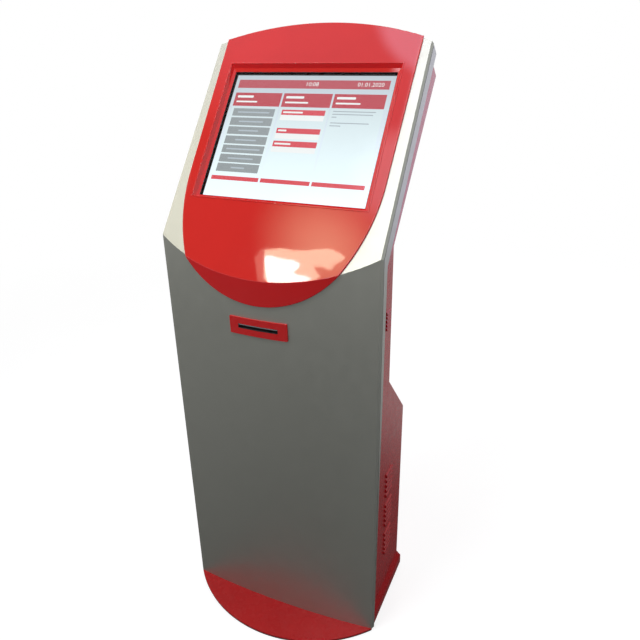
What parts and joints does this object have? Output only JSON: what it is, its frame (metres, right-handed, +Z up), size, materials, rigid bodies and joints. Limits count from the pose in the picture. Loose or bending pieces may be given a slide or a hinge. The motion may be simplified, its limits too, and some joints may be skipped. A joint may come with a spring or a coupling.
{
  "type": "queue ticket kiosk",
  "caption": "Floor-standing queue ticket kiosk: bowed front with ticket slot, tilted touch screen in a moulded shield, rear cabinet with lockable doors, and a thermal ticket printer inside.",
  "frame": {"origin": "centre of the four floor anchor holes, on the floor", "axes": "+X to the right of someone facing the screen, +Y from the front towards the back, +Z up"},
  "size_m": [0.4448, 0.4647, 1.2272],
  "materials": {
    "silver_paint": "satin metallic",
    "red_paint": "gloss",
    "red_plastic": "gloss",
    "dark_paint": "satin",
    "zinc_steel": "satin",
    "bright_chrome": "polished",
    "aluminium": "satin",
    "black_anodised": "matt",
    "brass": "satin",
    "black_plastic": "matt",
    "white_plastic": "matt",
    "green_plastic": "matt",
    "green_board": "satin",
    "black_rubber": "matt",
    "clear_glass": "gloss",
    "screen": "gloss",
    "paper": "matt",
    "cardboard": "matt",
    "speaker_black": "matt"
  },
  "bodies": {
    "kiosk": {"base_plate": "dark_paint", "cable_grommet": "black_rubber", "plinth": "red_paint", "front_shell": "silver_paint", "screen_shield": "red_plastic", "ticket_bezel": "red_plastic", "screen_gasket": "black_rubber", "touch_glass": "clear_glass", "display_panel": "screen", "display_board": "green_board", "screen_brackets": "zinc_steel", "rear_cabinet": "red_paint", "head_service_panel": "red_paint", "head_panel_screws": "bright_chrome", "printer_shelf": "zinc_steel", "roll_holder": "zinc_steel", "printer_chassis": "zinc_steel", "platen_bushes": "brass", "feed_motor": "zinc_steel", "head_pivot_rod": "zinc_steel", "cutter_fixed_blade": "zinc_steel", "control_board": "green_board", "speaker_right": "speaker_black", "speaker_left": "speaker_black", "lower_shelf": "zinc_steel", "computer": "black_anodised", "power_supply": "aluminium", "power_inlet": "black_plastic", "switch_body": "black_plastic", "upper_hinge_frame_leaves": "bright_chrome", "upper_hinge_pins": "zinc_steel", "lower_hinge_frame_leaves": "bright_chrome", "lower_hinge_pins": "zinc_steel"},
    "upper_door": {"upper_door": "red_paint", "upper_hinge_door_leaves": "bright_chrome", "upper_lock_body": "bright_chrome"},
    "upper_lock": {"upper_lock_plug": "bright_chrome", "upper_lock_cam": "zinc_steel"},
    "lower_door": {"lower_door": "red_paint", "lower_hinge_door_leaves": "bright_chrome", "lower_lock_body": "bright_chrome", "fan_frame": "black_plastic", "fan_guard": "bright_chrome"},
    "lower_lock": {"lower_lock_plug": "bright_chrome", "lower_lock_cam": "zinc_steel"},
    "fan_rotor": {"fan_rotor": "black_plastic"},
    "paper_roll": {"paper_roll": "paper", "roll_core": "cardboard", "roll_spindle": "black_plastic"},
    "platen": {"platen_shaft": "zinc_steel", "platen_roller": "black_rubber", "platen_gear": "white_plastic"},
    "idler_gear": {"idler_gear": "white_plastic"},
    "motor_pinion": {"motor_pinion": "brass"},
    "print_head": {"print_head": "black_anodised"},
    "release_lever": {"release_lever": "green_plastic"},
    "cutter_blade": {"cutter_moving_blade": "zinc_steel"},
    "feed_button": {"feed_button": "white_plastic"},
    "power_switch": {"switch_rocker": "black_plastic"}
  },
  "joints": [
    {"name": "upper_door_hinge", "type": "hinge", "parent": "kiosk", "child": "upper_door", "pos_m": [-0.16425, 0.0024, 0.719], "axis": [0, 0, 1], "range_deg": [0, 110]},
    {"name": "upper_lock_turn", "type": "hinge", "parent": "upper_door", "child": "upper_lock", "pos_m": [0.14, -0.0019, 0.719], "axis": [0, -1, 0], "range_deg": [0, 90]},
    {"name": "lower_door_hinge", "type": "hinge", "parent": "kiosk", "child": "lower_door", "pos_m": [-0.16425, 0.1121, 0.274], "axis": [0, 0, 1], "range_deg": [0, 110]},
    {"name": "lower_lock_turn", "type": "hinge", "parent": "lower_door", "child": "lower_lock", "pos_m": [0.14, 0.1078, 0.274], "axis": [0, -1, 0], "range_deg": [0, 90]},
    {"name": "fan_spin", "type": "hinge", "parent": "lower_door", "child": "fan_rotor", "pos_m": [0, 0.0828, 0.345], "axis": [0, 1, 0], "continuous": true},
    {"name": "roll_spin", "type": "hinge", "parent": "kiosk", "child": "paper_roll", "pos_m": [0, -0.07, 0.61801], "axis": [1, 0, 0], "continuous": true},
    {"name": "platen_spin", "type": "hinge", "parent": "kiosk", "child": "platen", "pos_m": [0, -0.084, 0.70831], "axis": [1, 0, 0], "continuous": true},
    {"name": "idler_spin", "type": "hinge", "parent": "kiosk", "child": "idler_gear", "pos_m": [0.054, -0.06323, 0.70075], "axis": [1, 0, 0], "continuous": true},
    {"name": "pinion_spin", "type": "hinge", "parent": "kiosk", "child": "motor_pinion", "pos_m": [0.054, -0.04651, 0.7043], "axis": [1, 0, 0], "continuous": true},
    {"name": "print_head_lift", "type": "hinge", "parent": "kiosk", "child": "print_head", "pos_m": [0, -0.046, 0.73701], "axis": [-1, 0, 0], "range_deg": [0, 12]},
    {"name": "release_lever_turn", "type": "hinge", "parent": "kiosk", "child": "release_lever", "pos_m": [-0.054, -0.07, 0.73801], "axis": [-1, 0, 0], "range_deg": [0, 60]},
    {"name": "cutter_stroke", "type": "slide", "parent": "kiosk", "child": "cutter_blade", "axis": [0, 0, -1], "range_m": [0, 0.007]},
    {"name": "feed_button_press", "type": "slide", "parent": "kiosk", "child": "feed_button", "axis": [0, -1, 0], "range_m": [0, 0.0012], "stiffness_N_per_m": 800, "springref_m": -0.0006},
    {"name": "power_switch_rock", "type": "hinge", "parent": "kiosk", "child": "power_switch", "pos_m": [0.07, 0.1083, 0.076], "axis": [-1, 0, 0], "range_deg": [0, 20]}
  ],
  "couplings": [
    {"joint": "idler_spin", "follows": "platen_spin", "ratio": -1.2},
    {"joint": "pinion_spin", "follows": "platen_spin", "ratio": 1.7143},
    {"joint": "release_lever_turn", "follows": "print_head_lift", "ratio": 5}
  ]
}
